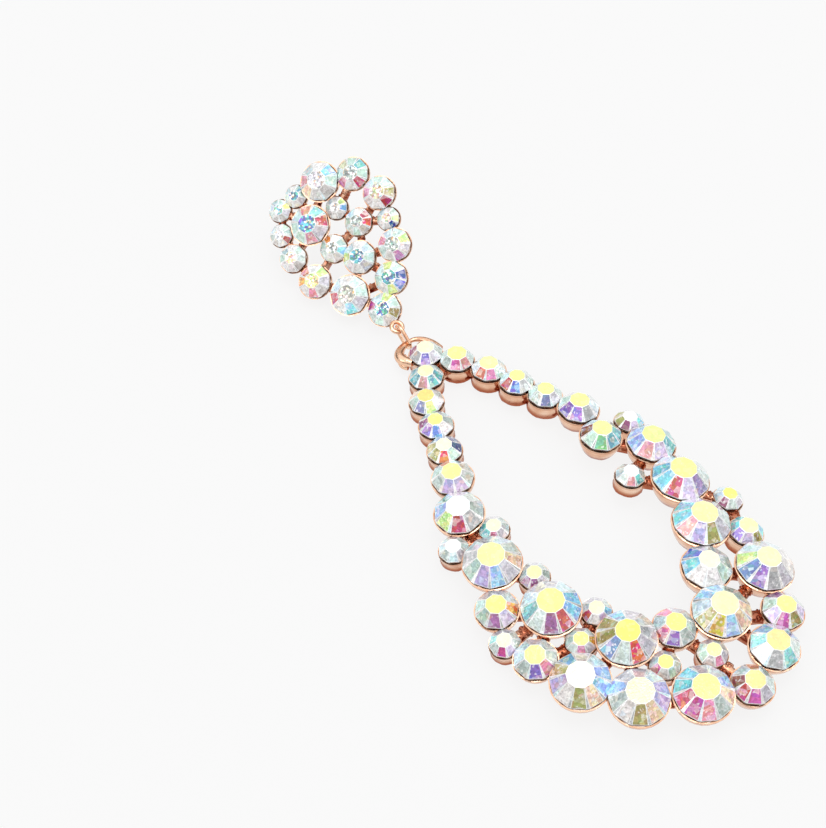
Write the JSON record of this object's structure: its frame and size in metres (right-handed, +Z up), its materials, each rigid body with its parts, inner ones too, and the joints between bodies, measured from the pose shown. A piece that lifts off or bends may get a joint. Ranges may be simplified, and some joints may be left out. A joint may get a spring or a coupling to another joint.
{
  "type": "teardrop earring",
  "caption": "Long statement earring: a leaning cluster stud on an ear post, and an open, slightly domed teardrop of round faceted stones in rose-gold cups, joined by a small link.",
  "frame": {"origin": "middle of the whole earring's footprint, on the surface it lies on", "axes": "+Z up, +Y from the drop towards the stud along the earring's length, +X across"},
  "size_m": [0.0466, 0.1136, 0.0165],
  "materials": {
    "rose_gold": "polished rose-gold plating",
    "steel": "drawn wire, dull grey",
    "crystal": "faceted glass with an iridescent coating"
  },
  "bodies": {
    "root": {"drop_frame": "rose_gold", "stud_frame": "rose_gold", "link_ring": "rose_gold", "ear_post": "steel", "drop_stone_top": "crystal", "drop_stone_left_1": "crystal", "drop_stone_left_2": "crystal", "drop_stone_left_3": "crystal", "drop_stone_left_4": "crystal", "drop_stone_left_5": "crystal", "drop_stone_left_6": "crystal", "drop_stone_left_7": "crystal", "drop_stone_left_8": "crystal", "drop_stone_left_9": "crystal", "drop_stone_left_10": "crystal", "drop_stone_left_11": "crystal", "drop_stone_left_12": "crystal", "drop_stone_bottom_1": "crystal", "drop_stone_bottom_2": "crystal", "drop_stone_bottom_3": "crystal", "drop_stone_bottom_4": "crystal", "drop_stone_right_1": "crystal", "drop_stone_right_2": "crystal", "drop_stone_right_3": "crystal", "drop_stone_right_4": "crystal", "drop_stone_right_5": "crystal", "drop_stone_right_6": "crystal", "drop_stone_right_7": "crystal", "drop_stone_right_8": "crystal", "drop_stone_right_9": "crystal", "drop_stone_right_10": "crystal", "drop_stone_right_11": "crystal", "drop_stone_right_12": "crystal", "drop_stone_right_13": "crystal", "drop_stone_right_14": "crystal", "drop_stone_right_15": "crystal", "stud_stone_medium_1": "crystal", "stud_stone_medium_2": "crystal", "stud_stone_medium_3": "crystal", "stud_stone_small_1": "crystal", "stud_stone_small_2": "crystal", "stud_stone_small_3": "crystal", "stud_stone_small_4": "crystal", "stud_stone_small_5": "crystal", "stud_stone_small_6": "crystal", "stud_stone_small_7": "crystal"}
  },
  "joints": []
}
